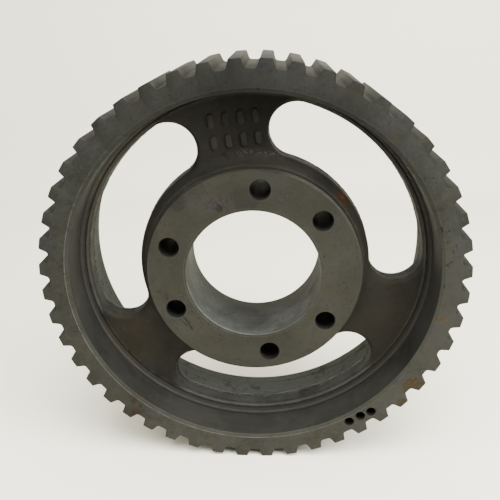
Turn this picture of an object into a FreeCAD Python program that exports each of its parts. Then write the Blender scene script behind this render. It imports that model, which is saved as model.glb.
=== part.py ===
import FreeCAD, Part

import math
import os
import Sketcher

os.makedirs("parts", exist_ok=True)

# Timing belt pulley for a 3 inch wide XH belt (7/8 inch pitch), 48 grooves, no flanges, with a hub bored
# for an F size split taper bushing. The real part is one gray iron casting, machined on the rim and hub.
# Frame: Y is the pulley's axis and its front face looks towards -Y, +Z is up, the origin is the centre.
# A groove is centred at the bottom, so the pulley stands on the two teeth beside it.

doc = FreeCAD.newDocument("timing_belt_pulley")

# ---------------------------------------------------------------- driving dimensions, mm and degrees
DIMENSIONS = [
    # belt profile
    ("groove_count", 48),
    ("belt_pitch", 22.225),
    ("pitch_line_height", 1.397),
    ("groove_depth", 7.14),
    ("groove_floor", 7.9),
    ("groove_flank", 20),
    ("groove_corner", 2.4),
    # rim
    ("face_width", 88.9),
    ("rim_bore_radius", 145.2),
    ("rim_bevel_width", 3.1),
    ("rim_bevel_depth", 0.8),
    ("rim_edge_break", 0.5),
    # balance holes, drilled in the front face
    ("balance_hole_radius", 3.9),
    ("balance_hole_depth", 12.7),
    ("balance_first_reach", 153.1),
    ("balance_middle_reach", 153.1),
    ("balance_last_reach", 154.9),
    ("balance_first_angle", 302.1),
    ("balance_middle_angle", 306.2),
    ("balance_last_angle", 309.8),
    # web
    ("web_thickness", 19.0),
    ("arm_count", 3),
    ("arm_angle", 98.8),
    ("window_outer_radius", 138.8),
    ("window_inner_radius", 95.3),
    ("window_end_angle", 34.6),
    ("window_edge_round", 3.5),
    ("ledge_inner_radius", 132.0),
    ("ledge_half_depth", 15.2),
    ("ledge_bead_width", 1.9),
    ("ledge_bead_depth", 3.8),
    ("ledge_bead_radius", 2.4),
    ("ledge_groove_depth", 0.9),
    ("collar_outer_radius", 102.0),
    ("collar_shoulder_radius", 89.0),
    ("collar_fillet", 10.5),
    # hub
    ("hub_length", 63.5),
    ("hub_setback", 15.5),
    ("hub_radius", 87.3125),
    ("hub_turned_length", 6.5),
    ("hub_edge_break", 1.0),
    ("bore_large_radius", 56.356),
    ("bore_taper_per_side", 0.03125),
    ("bore_edge_break", 0.6),
    ("screws_per_set", 3),
    ("screw_circle_radius", 71.4375),
    ("screw_hole_radius", 7.9375),
    ("screw_hole_edge_break", 0.5),
    ("screw_set_a_angle", 85.5),
    ("screw_set_b_angle", 40.5),
    # raised pads on the top arm
    ("mark_angle", 97.2),
    ("mark_upper_reach", 123.0),
    ("mark_lower_reach", 106.2),
    ("mark_spacing", 11.6),
    ("mark_height", 10.6),
    ("mark_width", 4.4),
    ("mark_relief", 1.3),
]

sheet = doc.addObject("Spreadsheet::Sheet", "Dims")
for row, (alias, size) in enumerate(DIMENSIONS, start=1):
    sheet.set(f"A{row}", alias)
    sheet.set(f"B{row}", str(size))
    sheet.setAlias(f"B{row}", alias)
doc.recompute()
ALIASES = sorted((alias for alias, size in DIMENSIONS), key=len, reverse=True)

# ---------------------------------------------------------------- derived sizes, as expressions
TIP_RADIUS = "(groove_count * belt_pitch / 2 / pi - pitch_line_height)"
ROOT_RADIUS = f"({TIP_RADIUS} - groove_depth)"
HALF_WIDTH = "(face_width / 2)"
HALF_WEB = "(web_thickness / 2)"
HUB_FRONT = "(hub_setback - face_width / 2)"
HUB_BACK = "(hub_setback - face_width / 2 + hub_length)"
BORE_SMALL = "(bore_large_radius - bore_taper_per_side * hub_length)"
WINDOW_END_RADIUS = "((window_outer_radius - window_inner_radius) / 2)"
WINDOW_END_REACH = "((window_outer_radius + window_inner_radius) / 2)"
ARM_TO_WINDOW = "(180 / arm_count)"


def bound(expression):
    """The expression with each dimension's name pointing at its cell in the sheet."""
    out, rest = "", expression
    while rest:
        alias = next((a for a in ALIASES if rest.startswith(a)), None)
        if alias:
            out += "Dims." + alias
            rest = rest[len(alias):]
        else:
            out += rest[0]
            rest = rest[1:]
    return out


def value(expression):
    """The expression's present value, as a plain number."""
    result = sheet.evalExpression(bound(expression))
    return float(getattr(result, "Value", result))


# ---------------------------------------------------------------- helpers for bodies and sketches
def new_body(label):
    body = doc.addObject("PartDesign::Body", label)
    body.Label = label
    return body


def origin_feature(body, role):
    return next(f for f in body.Origin.OriginFeatures if f.Role == role)


def new_sketch(body, name, role):
    sketch = body.newObject("Sketcher::SketchObject", name)
    sketch.AttachmentSupport = [(origin_feature(body, role), "")]
    sketch.MapMode = "FlatFace"
    return sketch


def bind(sketch, kind, places, expression):
    """A dimension on the sketch, driven by the sheet."""
    index = sketch.addConstraint(Sketcher.Constraint(kind, *places, value(expression)))
    sketch.setExpression(f"Constraints[{index}]", bound(expression))


def pin(sketch, place, across, up):
    """Holds a point of the sketch at two expressions from the sketch's origin."""
    bind(sketch, "DistanceX", (-1, 1, *place), across)
    bind(sketch, "DistanceY", (-1, 1, *place), up)


def arc_between(start, end, centre_side, radius):
    """The shorter arc of that radius from start to end. centre_side +1 bends it anticlockwise."""
    half = (end - start) * 0.5
    rise = math.sqrt(max(radius**2 - half.Length**2, 0.0))
    across = FreeCAD.Vector(-half.y, half.x, 0).normalize() * rise * centre_side
    centre = start + half + across
    first = math.atan2(start.y - centre.y, start.x - centre.x)
    last = math.atan2(end.y - centre.y, end.x - centre.x)
    if centre_side < 0:
        first, last = last, first
    circle = Part.Circle(centre, FreeCAD.Vector(0, 0, 1), radius)
    return Part.ArcOfCircle(circle, first, last)


def outline(sketch, corners, arcs=None):
    """A closed outline through the corners, each a pair of expressions. arcs maps an edge's number to
    (side, radius): the edge from that corner to the next is then an arc, anticlockwise for side +1."""
    arcs = arcs or {}
    points = [FreeCAD.Vector(value(x), value(y), 0) for x, y in corners]
    ends = []
    for number, start in enumerate(points):
        end = points[(number + 1) % len(points)]
        if number in arcs:
            side, radius = arcs[number]
            edge = sketch.addGeometry(arc_between(start, end, side, value(radius)), False)
            ends.append((edge, 1, 2) if side > 0 else (edge, 2, 1))
        else:
            edge = sketch.addGeometry(Part.LineSegment(start, end), False)
            ends.append((edge, 1, 2))
    for number, (edge, first, last) in enumerate(ends):
        following, its_first, _ = ends[(number + 1) % len(ends)]
        sketch.addConstraint(Sketcher.Constraint("Coincident", edge, last, following, its_first))
        pin(sketch, (edge, first), *corners[number])
        if number in arcs:
            bind(sketch, "Radius", (edge,), arcs[number][1])


def circle_at(sketch, across, up, radius):
    place = FreeCAD.Vector(value(across), value(up), 0)
    ring = sketch.addGeometry(Part.Circle(place, FreeCAD.Vector(0, 0, 1), value(radius)), False)
    bind(sketch, "Radius", (ring,), radius)
    pin(sketch, (ring, 3), across, up)


def polar(reach, angle):
    """The across and up expressions of a point given by its reach from the axis and its angle."""
    return f"({reach}) * cos(({angle}) * 1deg)", f"({reach}) * sin(({angle}) * 1deg)"


def slot_along_x(sketch, low, high, middle, radius):
    """A slot with round ends whose end centres are at low and high, both at the height middle."""
    up = FreeCAD.Vector(0, 0, 1)
    first, last, height, size = value(low), value(high), value(middle), value(radius)
    ends = [
        sketch.addGeometry(Part.ArcOfCircle(
            Part.Circle(FreeCAD.Vector(place, height, 0), up, size), start, start + math.pi), False)
        for place, start in ((first, math.pi / 2), (last, -math.pi / 2))
    ]
    sides = [
        sketch.addGeometry(Part.LineSegment(
            FreeCAD.Vector(first, height + side * size, 0), FreeCAD.Vector(last, height + side * size, 0)
        ), False)
        for side in (-1, 1)
    ]
    low_end, high_end = ends
    lower, upper = sides
    for arc, point, line, its_point in (
        (low_end, 2, lower, 1), (high_end, 1, lower, 2), (high_end, 2, upper, 2), (low_end, 1, upper, 1)
    ):
        sketch.addConstraint(Sketcher.Constraint("Tangent", arc, point, line, its_point))
    sketch.addConstraint(Sketcher.Constraint("Equal", low_end, high_end))
    bind(sketch, "Radius", (low_end,), radius)
    pin(sketch, (low_end, 3), low, middle)
    pin(sketch, (high_end, 3), high, middle)


def revolve(body, sketch):
    feature = body.newObject("PartDesign::Revolution", sketch.Name + "_turned")
    feature.Profile = sketch
    feature.ReferenceAxis = (origin_feature(body, "Y_Axis"), [""])
    feature.Angle = 360
    return feature


def pad_both_ways(body, sketch, length):
    feature = body.newObject("PartDesign::Pad", sketch.Name + "_pad")
    feature.Profile = sketch
    feature.SideType = "Symmetric"
    feature.setExpression("Length", bound(length))
    return feature


def cut_through(body, sketch, length):
    """A cut on both sides of the sketch, so that its direction doesn't matter."""
    feature = body.newObject("PartDesign::Pocket", sketch.Name + "_cut")
    feature.Profile = sketch
    feature.SideType = "Symmetric"
    feature.setExpression("Length", bound(length))
    return feature


def repeat_round_axis(body, feature, count):
    pattern = body.newObject("PartDesign::PolarPattern", feature.Name + "_ring")
    pattern.Originals = [feature]
    pattern.Axis = (origin_feature(body, "Y_Axis"), [""])
    pattern.Angle = 360
    pattern.setExpression("Occurrences", bound(count))
    body.Tip = pattern
    return pattern


def round_edges(body, feature, radius, wanted):
    """Rounds the edges of the feature's shape that wanted(edge) picks."""
    doc.recompute()
    names = [f"Edge{n}" for n, edge in enumerate(feature.Shape.Edges, start=1) if wanted(edge)]
    rounding = body.newObject("PartDesign::Fillet", feature.Name + "_rounded")
    rounding.Base = (feature, names)
    rounding.setExpression("Radius", bound(radius))
    return rounding


def turn_about_axis(body, angle):
    """Turns a body from the +X direction towards +Z by that many degrees."""
    body.setExpression("Placement.Rotation.Angle", f"({bound(angle)}) * 1deg")
    body.Placement = FreeCAD.Placement(
        FreeCAD.Vector(0, 0, 0), FreeCAD.Rotation(FreeCAD.Vector(0, -1, 0), value(angle))
    )


def reach_of(edge):
    """How far the middle of an edge is from the pulley's axis."""
    middle = edge.valueAt((edge.FirstParameter + edge.LastParameter) / 2)
    return math.hypot(middle.x, middle.z)


def in_plane_y(edge, y):
    box = edge.BoundBox
    return abs(box.YMin - y) < 1e-4 and abs(box.YMax - y) < 1e-4


# ---------------------------------------------------------------- toothed rim
def toothed_rim():
    body = new_body("toothed_rim")
    section = new_sketch(body, "rim_section", "XY_Plane")
    bevel_radius = "rim_bore_radius + rim_bevel_width"
    front, back = f"-{HALF_WIDTH}", HALF_WIDTH
    outline(section, [
        (bevel_radius, front),
        (f"{TIP_RADIUS} - rim_edge_break", front),
        (TIP_RADIUS, f"{front} + rim_edge_break"),
        (TIP_RADIUS, f"{back} - rim_edge_break"),
        (f"{TIP_RADIUS} - rim_edge_break", back),
        (bevel_radius, back),
        ("rim_bore_radius", f"{back} - rim_bevel_depth"),
        ("rim_bore_radius", f"{front} + rim_bevel_depth"),
    ])
    revolve(body, section)

    groove = new_sketch(body, "belt_groove", "XZ_Plane")
    corner = "groove_corner / tan((90 + groove_flank) / 2 * 1deg)"
    half_floor = f"(groove_floor / 2 - {corner})"
    flank_across = f"(groove_floor / 2 + {corner} * sin(groove_flank * 1deg))"
    flank_up = f"({ROOT_RADIUS} + {corner} * cos(groove_flank * 1deg))"
    top_up = f"({TIP_RADIUS} + groove_depth / 2)"
    top_across = "(groove_floor / 2 + (groove_depth * 3 / 2) * tan(groove_flank * 1deg))"
    outline(groove, [
        (f"-{half_floor}", ROOT_RADIUS),
        (half_floor, ROOT_RADIUS),
        (flank_across, flank_up),
        (top_across, top_up),
        (f"-{top_across}", top_up),
        (f"-{flank_across}", flank_up),
    ], arcs={1: (1, "groove_corner"), 5: (1, "groove_corner")})
    first_groove = cut_through(body, groove, "face_width * 2")
    repeat_round_axis(body, first_groove, "groove_count")

    holes = new_sketch(body, "balance_holes", "XZ_Plane")
    holes.AttachmentOffset = FreeCAD.Placement(
        FreeCAD.Vector(0, 0, value(HALF_WIDTH)), FreeCAD.Rotation()
    )
    holes.setExpression("AttachmentOffset.Base.z", bound(HALF_WIDTH))
    for which in ("first", "middle", "last"):
        across, up = polar(f"balance_{which}_reach", f"balance_{which}_angle")
        circle_at(holes, across, up, "balance_hole_radius")
    cut_through(body, holes, "balance_hole_depth * 2")
    return body


# ---------------------------------------------------------------- web: three windows between two rings
def window_cuts(body):
    """Cuts the three kidney windows. Each runs between two circles about the axis and has full round ends."""
    sketch = new_sketch(body, body.Name + "_window", "XZ_Plane")
    end_reach, end_angle = value(WINDOW_END_REACH), math.radians(value("window_end_angle"))
    axis, up = FreeCAD.Vector(0, 0, 0), FreeCAD.Vector(0, 0, 1)
    end = value(WINDOW_END_RADIUS)
    far = FreeCAD.Vector(end_reach * math.cos(end_angle), end_reach * math.sin(end_angle), 0)
    near = FreeCAD.Vector(far.x, -far.y, 0)
    outer = sketch.addGeometry(Part.ArcOfCircle(
        Part.Circle(axis, up, value("window_outer_radius")), -end_angle, end_angle), False)
    far_end = sketch.addGeometry(Part.ArcOfCircle(
        Part.Circle(far, up, end), end_angle, end_angle + math.pi), False)
    inner = sketch.addGeometry(Part.ArcOfCircle(
        Part.Circle(axis, up, value("window_inner_radius")), -end_angle, end_angle), False)
    near_end = sketch.addGeometry(Part.ArcOfCircle(
        Part.Circle(near, up, end), math.pi - end_angle, 2 * math.pi - end_angle), False)
    for arc, point, other, its_point in (
        (outer, 2, far_end, 1), (far_end, 2, inner, 2), (inner, 1, near_end, 1), (near_end, 2, outer, 1)
    ):
        sketch.addConstraint(Sketcher.Constraint("Tangent", arc, point, other, its_point))
    for arc in (outer, inner):
        sketch.addConstraint(Sketcher.Constraint("Coincident", arc, 3, -1, 1))
    bind(sketch, "Radius", (outer,), "window_outer_radius")
    bind(sketch, "Radius", (inner,), "window_inner_radius")
    for arc, sign in ((far_end, ""), (near_end, "-")):
        bind(sketch, "DistanceY", (-1, 1, arc, 3),
             f"{sign}{WINDOW_END_REACH} * sin(window_end_angle * 1deg)")
    first = cut_through(body, sketch, "face_width")
    return repeat_round_axis(body, first, "arm_count")


def web_outer_ring():
    """The cast ledge inside the rim. Its section steps down from the rim's bore over a small bead."""
    body = new_body("web_outer_ring")
    section = new_sketch(body, "ledge_section", "XY_Plane")
    bead_end = "(ledge_half_depth - ledge_bead_depth)"
    bead_foot = "(rim_bore_radius - ledge_bead_width)"
    groove_inner = f"({bead_foot} - 2 * ledge_groove_depth)"
    outline(section, [
        ("ledge_inner_radius", f"-{HALF_WEB}"),
        (groove_inner, f"-{HALF_WEB}"),
        (f"{bead_foot} - ledge_groove_depth", f"-{HALF_WEB} + ledge_groove_depth"),
        (bead_foot, f"-{bead_end}"),
        ("rim_bore_radius", "-ledge_half_depth"),
        ("rim_bore_radius", "ledge_half_depth"),
        (bead_foot, bead_end),
        (f"{bead_foot} - ledge_groove_depth", f"{HALF_WEB} - ledge_groove_depth"),
        (groove_inner, HALF_WEB),
        ("ledge_inner_radius", HALF_WEB),
    ], arcs={3: (1, "ledge_bead_radius"), 5: (1, "ledge_bead_radius")})
    revolve(body, section)
    windows = window_cuts(body)
    round_edges(body, windows, "window_edge_round", lambda edge: (
        (in_plane_y(edge, value(HALF_WEB)) or in_plane_y(edge, -value(HALF_WEB)))
        and value("ledge_inner_radius") + 0.1 < reach_of(edge) < value("window_outer_radius") + 0.1
    ))
    turn_about_axis(body, f"arm_angle - {ARM_TO_WINDOW}")
    return body


def web_arm(label, turns):
    """One arm: its sides are the round ends of the windows beside it."""
    body = new_body(label)
    sketch = new_sketch(body, label + "_outline", "XZ_Plane")
    reach, end = value(WINDOW_END_REACH), value(WINDOW_END_RADIUS)
    gap = math.radians(value(f"{ARM_TO_WINDOW} - window_end_angle"))

    def crossing(radius):
        """The angle, from the arm's middle, where a circle about the axis meets a window's round end."""
        return gap - math.acos((radius**2 + reach**2 - end**2) / (2 * radius * reach))

    outer_radius, inner_radius = value("ledge_inner_radius"), value("collar_outer_radius")
    axis, up = FreeCAD.Vector(0, 0, 0), FreeCAD.Vector(0, 0, 1)
    outer = sketch.addGeometry(Part.ArcOfCircle(
        Part.Circle(axis, up, outer_radius), -crossing(outer_radius), crossing(outer_radius)), False)
    inner = sketch.addGeometry(Part.ArcOfCircle(
        Part.Circle(axis, up, inner_radius), -crossing(inner_radius), crossing(inner_radius)), False)
    sides = []
    for sign in (1, -1):
        centre = FreeCAD.Vector(reach * math.cos(gap), sign * reach * math.sin(gap), 0)
        corners = [
            math.atan2(sign * r * math.sin(crossing(r)) - centre.y, r * math.cos(crossing(r)) - centre.x)
            for r in (inner_radius, outer_radius)
        ]
        first, last = corners if sign > 0 else corners[::-1]
        sides.append(sketch.addGeometry(Part.ArcOfCircle(Part.Circle(centre, up, end), first, last), False))
    left, right = sides
    for arc, point, other, its_point in (
        (inner, 2, left, 1), (left, 2, outer, 2), (outer, 1, right, 1), (right, 2, inner, 1)
    ):
        sketch.addConstraint(Sketcher.Constraint("Coincident", arc, point, other, its_point))
    for arc, radius in ((outer, "ledge_inner_radius"), (inner, "collar_outer_radius")):
        sketch.addConstraint(Sketcher.Constraint("Coincident", arc, 3, -1, 1))
        bind(sketch, "Radius", (arc,), radius)
    for arc, angle in (
        (left, f"{ARM_TO_WINDOW} - window_end_angle"), (right, f"window_end_angle - {ARM_TO_WINDOW}")
    ):
        bind(sketch, "Radius", (arc,), WINDOW_END_RADIUS)
        pin(sketch, (arc, 3), *polar(WINDOW_END_REACH, angle))
    plate = pad_both_ways(body, sketch, "web_thickness")
    round_edges(body, plate, "window_edge_round", lambda edge: (
        (in_plane_y(edge, value(HALF_WEB)) or in_plane_y(edge, -value(HALF_WEB)))
        and inner_radius + 1 < reach_of(edge) < outer_radius - 1
    ))
    turn_about_axis(body, f"arm_angle + {turns} * 360 / arm_count")
    return body


def web_hub_collar():
    """The cast collar round the hub. Large fillets carry it from the web up to the hub's turned ends."""
    body = new_body("web_hub_collar")
    section = new_sketch(body, "collar_section", "XY_Plane")
    front_end, back_end = f"({HUB_FRONT} + hub_turned_length)", f"({HUB_BACK} - hub_turned_length)"
    flat_start = "(collar_shoulder_radius + collar_fillet)"
    outline(section, [
        ("hub_radius", front_end),
        ("collar_shoulder_radius", front_end),
        ("collar_shoulder_radius", f"-{HALF_WEB} - collar_fillet"),
        (flat_start, f"-{HALF_WEB}"),
        ("collar_outer_radius", f"-{HALF_WEB}"),
        ("collar_outer_radius", HALF_WEB),
        (flat_start, HALF_WEB),
        ("collar_shoulder_radius", f"{HALF_WEB} + collar_fillet"),
        ("collar_shoulder_radius", back_end),
        ("hub_radius", back_end),
    ], arcs={2: (-1, "collar_fillet"), 6: (-1, "collar_fillet")})
    revolve(body, section)
    window_cuts(body)
    turn_about_axis(body, f"arm_angle - {ARM_TO_WINDOW}")
    return body


# ---------------------------------------------------------------- hub
def hub():
    """Turned hub. The bore tapers 3/4 inch per foot on diameter and is smaller at the front."""
    body = new_body("hub")
    section = new_sketch(body, "hub_section", "XY_Plane")
    outline(section, [
        (f"{BORE_SMALL} + bore_edge_break", HUB_FRONT),
        ("hub_radius - hub_edge_break", HUB_FRONT),
        ("hub_radius", f"{HUB_FRONT} + hub_edge_break"),
        ("hub_radius", f"{HUB_BACK} - hub_edge_break"),
        ("hub_radius - hub_edge_break", HUB_BACK),
        ("bore_large_radius + bore_edge_break", HUB_BACK),
        ("bore_large_radius - bore_taper_per_side * bore_edge_break", f"{HUB_BACK} - bore_edge_break"),
        (f"{BORE_SMALL} + bore_taper_per_side * bore_edge_break", f"{HUB_FRONT} + bore_edge_break"),
    ])
    revolve(body, section)
    for name in ("a", "b"):
        hole = new_sketch(body, f"screw_hole_{name}", "XZ_Plane")
        circle_at(hole, *polar("screw_circle_radius", f"screw_set_{name}_angle"), "screw_hole_radius")
        repeat_round_axis(body, cut_through(body, hole, "face_width * 2"), "screws_per_set")
    doc.recompute()
    drilled = body.Tip
    reach, radius = value("screw_circle_radius"), value("screw_hole_radius")
    names = [
        f"Edge{n}" for n, edge in enumerate(drilled.Shape.Edges, start=1)
        if edge.Curve.TypeId == "Part::GeomCircle" and abs(edge.Curve.Radius - radius) < 1e-3
    ]
    mouths = body.newObject("PartDesign::Chamfer", "screw_hole_mouths")
    mouths.Base = (drilled, names)
    mouths.setExpression("Size", bound("screw_hole_edge_break"))
    return body


# ---------------------------------------------------------------- raised pads on the top arm
def cast_marks():
    """Two rows of four plain raised pads with round ends, cast on the front of the top arm."""
    body = new_body("cast_marks")
    sketch = new_sketch(body, "mark_outlines", "XZ_Plane")
    sketch.AttachmentOffset = FreeCAD.Placement(
        FreeCAD.Vector(0, 0, value(HALF_WEB)), FreeCAD.Rotation()
    )
    sketch.setExpression("AttachmentOffset.Base.z", bound(HALF_WEB))
    half_side = "((mark_height - mark_width) / 2)"
    for row in ("upper", "lower"):
        for column in (-1.5, -0.5, 0.5, 1.5):
            middle = f"mark_spacing * {column}"
            reach = f"mark_{row}_reach"
            slot_along_x(
                sketch, f"{reach} - {half_side}", f"{reach} + {half_side}", middle, "mark_width / 2"
            )
    pads = body.newObject("PartDesign::Pad", "mark_pads")
    pads.Profile = sketch
    pads.setExpression("Length", bound("mark_relief"))
    pads.TaperAngle = -12
    turn_about_axis(body, "mark_angle")
    return body


bodies = [
    toothed_rim(),
    web_outer_ring(),
    web_arm("web_arm_top", 0),
    web_arm("web_arm_lower_left", 1),
    web_arm("web_arm_lower_right", 2),
    web_hub_collar(),
    hub(),
    cast_marks(),
]
doc.recompute()

# ---------------------------------------------------------------- check and write
for item in doc.Objects:
    if "Invalid" in item.State or "Error" in item.State:
        raise RuntimeError(f"{item.Label} did not compute: {item.State}")
for body in bodies:
    if body.Shape.isNull() or not body.Shape.isValid():
        raise RuntimeError(f"{body.Label} has no valid shape")
    solids, volume = len(body.Shape.Solids), body.Shape.Volume / 1000
    print(f"{body.Label:20s} {solids} solids, {volume:8.1f} cm3")
for body in bodies:
    body.Shape.exportStep(f"parts/{body.Label}.step")
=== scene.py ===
import math
import random

import bmesh
import bpy
from mathutils import Matrix, Vector, noise
from mathutils.geometry import delaunay_2d_cdt


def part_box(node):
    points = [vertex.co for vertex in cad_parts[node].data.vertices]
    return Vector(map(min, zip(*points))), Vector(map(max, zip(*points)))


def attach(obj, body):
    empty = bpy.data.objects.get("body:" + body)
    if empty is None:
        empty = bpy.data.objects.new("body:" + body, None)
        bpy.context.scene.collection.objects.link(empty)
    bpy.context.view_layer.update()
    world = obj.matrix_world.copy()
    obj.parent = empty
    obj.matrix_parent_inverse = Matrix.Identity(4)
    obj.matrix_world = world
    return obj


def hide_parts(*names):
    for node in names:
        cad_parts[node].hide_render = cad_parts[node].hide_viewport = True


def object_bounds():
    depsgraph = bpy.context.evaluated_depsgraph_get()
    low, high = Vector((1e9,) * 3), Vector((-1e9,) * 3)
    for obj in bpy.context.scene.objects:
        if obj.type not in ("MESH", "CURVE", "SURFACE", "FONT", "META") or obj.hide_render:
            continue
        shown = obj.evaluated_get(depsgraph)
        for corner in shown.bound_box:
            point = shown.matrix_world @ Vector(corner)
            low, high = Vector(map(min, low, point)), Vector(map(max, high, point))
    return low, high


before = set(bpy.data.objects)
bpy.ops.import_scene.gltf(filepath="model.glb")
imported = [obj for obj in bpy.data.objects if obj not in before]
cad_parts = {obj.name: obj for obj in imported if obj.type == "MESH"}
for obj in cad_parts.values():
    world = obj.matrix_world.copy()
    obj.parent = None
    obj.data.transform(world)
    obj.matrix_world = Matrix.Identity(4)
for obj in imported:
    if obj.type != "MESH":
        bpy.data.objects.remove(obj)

# Timing belt pulley: one gray iron casting, machined on its rim and hub, standing on two teeth.
# Shapes below are in millimetres in the CAD frame: Y is the axis, the front looks towards -Y, +Z is up.
# Angles are from +X towards +Z. Everything becomes metres when a mesh is made.

cad_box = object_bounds()
MM = 0.001


def extent(node, axis):
    """Lowest and highest place of a CAD node along an axis, in millimetres."""
    low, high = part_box(node)
    return low[axis] / MM, high[axis] / MM


# ---------------------------------------------------------------- sizes, from the frame where it has them
RIM_FRONT, RIM_BACK = extent("toothed_rim", 1)
HUB_FRONT, HUB_BACK = extent("hub", 1)
HUB_RADIUS = extent("hub", 0)[1]
WEB_HALF = extent("web_arm_top", 1)[1]
COLLAR_FRONT, COLLAR_BACK = extent("web_hub_collar", 1)
BEAD_REACH = extent("web_outer_ring", 1)[1]
PAD_TOP = -extent("cast_marks", 1)[0]

GROOVE_COUNT = 48
BELT_PITCH = 22.225
PITCH_LINE_HEIGHT = 1.397
TIP_RADIUS = GROOVE_COUNT * BELT_PITCH / (2 * math.pi) - PITCH_LINE_HEIGHT
GROOVE_DEPTH = 7.14
ROOT_RADIUS = TIP_RADIUS - GROOVE_DEPTH
GROOVE_HALF_FLOOR = 3.95
GROOVE_FLANK = math.radians(20)
GROOVE_CORNER = 2.4
TOOTH_CORNER = 0.6
RIM_BORE = 145.2
BEVEL_RADIUS = RIM_BORE + 3.1
BEVEL_DEPTH = 0.8
BEVEL_CORNER = 0.25
EDGE_BREAK = 0.4
BORE_RELIEF = WEB_HALF + 6.8
BORE_RELIEF_DEPTH = 0.55
BORE_STEP = RIM_BACK - 10.2
BORE_STEP_HALF = 0.4
BORE_STEP_DEPTH = 0.25
BALANCE_HOLES = ((153.1, 302.1), (153.1, 306.2), (154.9, 309.8))
BALANCE_RADIUS = 3.9
BALANCE_DEPTH = 12.7
BALANCE_POINT = 2.2
BALANCE_EDGE_BREAK = 0.25

ARM_COUNT = 3
ARM_ANGLE = 98.8
WINDOW_OUTER = 138.8
WINDOW_INNER = 95.3
WINDOW_MIDDLE = (WINDOW_OUTER + WINDOW_INNER) / 2
WINDOW_END = (WINDOW_OUTER - WINDOW_INNER) / 2
WINDOW_HALF_ANGLE = math.radians(34.6)
ARM_STEP = 360 / ARM_COUNT
WINDOW_ANGLES = [math.radians(ARM_ANGLE + ARM_STEP / 2 + ARM_STEP * turn) for turn in range(ARM_COUNT)]
EDGE_ROUND = 3.5
PARTING_DEPTH = 4.2
# Window wall from front to back, as (depth past the line, how far out it is cut; below zero is flash).
PARTING_LINE = ((-6.0, -0.1), (-2.4, -0.15), (-1.2, -0.3), (-0.4, -0.65), (0.4, -0.6), (1.2, -0.2))
LEDGE_GROOVE = 142.4
LEDGE_GROOVE_START = 141.5
LEDGE_GROOVE_DEPTH = 0.9
BEAD_RADIUS = 2.4
COLLAR_SHOULDER = 89.0
COLLAR_FILLET = 10.5
COLLAR_FLAT = COLLAR_SHOULDER + COLLAR_FILLET

BORE_BACK_RADIUS = 56.356
BORE_TAPER = 0.03125
BORE_FRONT_RADIUS = BORE_BACK_RADIUS - BORE_TAPER * (HUB_BACK - HUB_FRONT)
SCREW_CIRCLE = 71.4375
SCREW_RADIUS = 7.9375
SCREW_EDGE_BREAK = 0.45
SCREWS_PER_SET = 3
SCREW_STEP = 360 / SCREWS_PER_SET
SCREW_ANGLES = [start + SCREW_STEP * turn for start in (85.5, 40.5) for turn in range(SCREWS_PER_SET)]
# The hub's outer edge, as (how far in from its radius, how far along from its face).
HUB_EDGE = ((1.0, 0.0), (0.85, 0.08), (0.1, 0.85), (0.0, 1.1))

PAD_ANGLE = 97.2
PAD_REACHES = (123.0, 106.2)
PAD_SPACING = 11.6
PAD_LENGTH = 10.6
PAD_WIDTH = 4.4


# ---------------------------------------------------------------- mesh building
def polar(radius, angle, y):
    return Vector((radius * math.cos(angle), y, radius * math.sin(angle)))


def circle(radius, y, count, centre=(0.0, 0.0)):
    """A loop of points round a centre, given by its X and Z."""
    across, up = centre
    return [
        Vector((across, 0, up)) + polar(radius, 2 * math.pi * step / count, y) for step in range(count)
    ]


class Shell:
    """Collects a closed mesh: loops of points joined by strips, and flat areas between loops.

    Faces take the material whose number is in finish when they are added.
    """

    def __init__(self):
        self.points = []
        self.faces = []
        self.finishes = []
        self.finish = 0

    def face(self, corners):
        self.faces.append(tuple(corners))
        self.finishes.append(self.finish)

    def loop(self, points):
        first = len(self.points)
        self.points.extend(points)
        return list(range(first, len(self.points)))

    def strip(self, near, far):
        """Faces between two loops of the same length."""
        for step in range(len(near)):
            after = (step + 1) % len(near)
            self.face((near[step], near[after], far[after], far[step]))

    def sleeve(self, loops):
        """Adds each loop of points, joins it to the one before, and returns the first and last loops."""
        added = [self.loop(points) for points in loops]
        for near, far in zip(added, added[1:]):
            self.strip(near, far)
        return added[0], added[-1]

    def plate(self, loops, inner=()):
        """Triangles across the area between the loops, and through the inner points, as seen along Y."""
        spots = [index for loop in loops for index in loop]
        extra = self.loop(inner)
        spots += extra
        flat = [Vector((self.points[index].x, self.points[index].z)) for index in spots]
        edges, start = [], 0
        for loop in loops:
            edges += [(start + step, start + (step + 1) % len(loop)) for step in range(len(loop))]
            start += len(loop)
        places, _, triangles, origins, _, _ = delaunay_2d_cdt(flat, edges, [], 0, 1e-5)
        inside = EvenOdd([[(self.points[i].x, self.points[i].z) for i in loop] for loop in loops])
        for triangle in triangles:
            middle = sum((places[corner] for corner in triangle), Vector((0, 0))) / 3
            if inside.holds(middle.x, middle.y):
                self.face(spots[origins[corner][0]] for corner in triangle)

    def mesh(self, name):
        data = bpy.data.meshes.new(name)
        data.from_pydata([point * MM for point in self.points], [], self.faces)
        data.polygons.foreach_set("material_index", self.finishes)
        work = bmesh.new()
        work.from_mesh(data)
        bmesh.ops.delete(work, geom=[v for v in work.verts if not v.link_faces], context="VERTS")
        bmesh.ops.recalc_face_normals(work, faces=work.faces)
        work.to_mesh(data)
        work.free()
        return data


class EvenOdd:
    """Tells whether a place is inside a set of closed loops, counting crossings of a line through it."""

    def __init__(self, loops):
        self.rows = {}
        for loop in loops:
            for (x0, z0), (x1, z1) in zip(loop, loop[1:] + loop[:1]):
                low, high = sorted((z0, z1))
                for row in range(math.floor(low), math.floor(high) + 1):
                    self.rows.setdefault(row, []).append((x0, z0, x1, z1))

    def holds(self, x, z):
        crossings = 0
        for x0, z0, x1, z1 in self.rows.get(math.floor(z), ()):
            if (z0 > z) != (z1 > z) and x < x0 + (z - z0) / (z1 - z0) * (x1 - x0):
                crossings += 1
        return crossings % 2 == 1


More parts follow.
